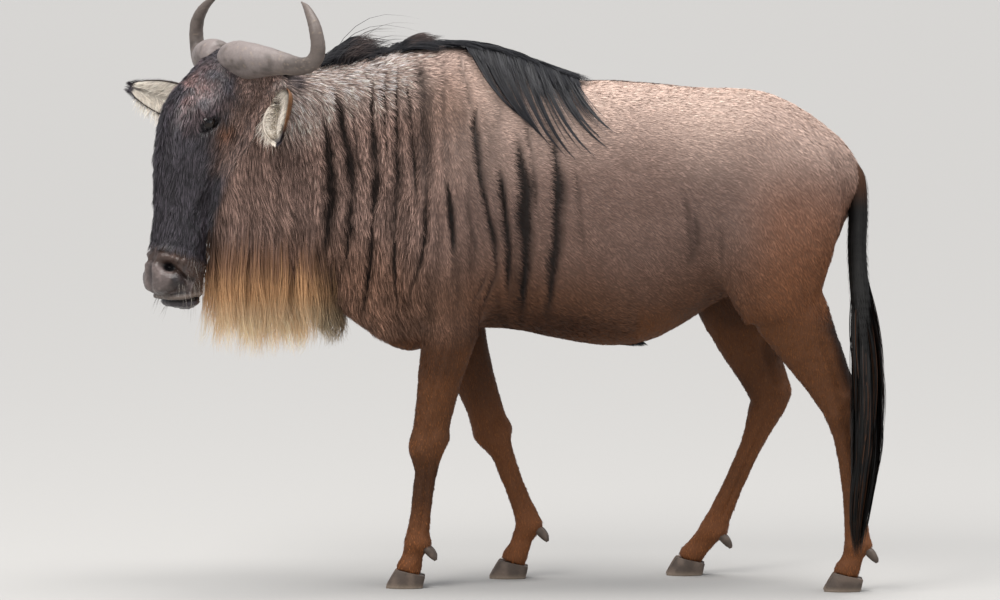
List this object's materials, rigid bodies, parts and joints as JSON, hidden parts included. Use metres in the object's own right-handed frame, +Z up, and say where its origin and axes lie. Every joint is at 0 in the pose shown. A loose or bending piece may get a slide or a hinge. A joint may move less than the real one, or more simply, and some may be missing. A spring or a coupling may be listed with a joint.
{
  "type": "wildebeest",
  "caption": "Still life-size walking blue wildebeest bull with head turned, curved horns, mane, beard and long tail, standing on its hooves",
  "frame": {"origin": "the middle of the bounding box at floor level, under the belly", "axes": "+Z up, the animal faces -X and its left side is towards -Y"},
  "size_m": [1.7773, 0.5466, 1.3831],
  "materials": {
    "coat": "short grey-brown hair",
    "face": "short black hair",
    "hair": "long black hair",
    "leg": "short rusty brown hair",
    "horn": "smooth grey horn",
    "hoof": "dark grey horn",
    "eye": "wet dark brown"
  },
  "bodies": {
    "root": {"dewclaw_fore_left_1": "hoof", "dewclaw_fore_left_2": "hoof", "dewclaw_fore_right_1": "hoof", "dewclaw_fore_right_2": "hoof", "dewclaw_hind_left_1": "hoof", "dewclaw_hind_left_2": "hoof", "dewclaw_hind_right_1": "hoof", "dewclaw_hind_right_2": "hoof", "ear_left": "coat", "ear_right": "coat", "eye_left": "eye", "eye_right": "eye", "foot_fore_left": "leg", "foot_fore_right": "leg", "foot_hind_left": "leg", "foot_hind_right": "leg", "head": "face", "hoof_fore_left_1": "hoof", "hoof_fore_left_2": "hoof", "hoof_fore_right_1": "hoof", "hoof_fore_right_2": "hoof", "hoof_hind_left_1": "hoof", "hoof_hind_left_2": "hoof", "hoof_hind_right_1": "hoof", "hoof_hind_right_2": "hoof", "horn_left": "horn", "horn_right": "horn", "leg_fore_left_lower": "leg", "leg_fore_left_upper": "leg", "leg_fore_right_lower": "leg", "leg_fore_right_upper": "leg", "leg_hind_left_lower": "leg", "leg_hind_left_upper": "leg", "leg_hind_right_lower": "leg", "leg_hind_right_upper": "leg", "neck": "coat", "tail": "hair", "torso": "coat"}
  },
  "joints": []
}
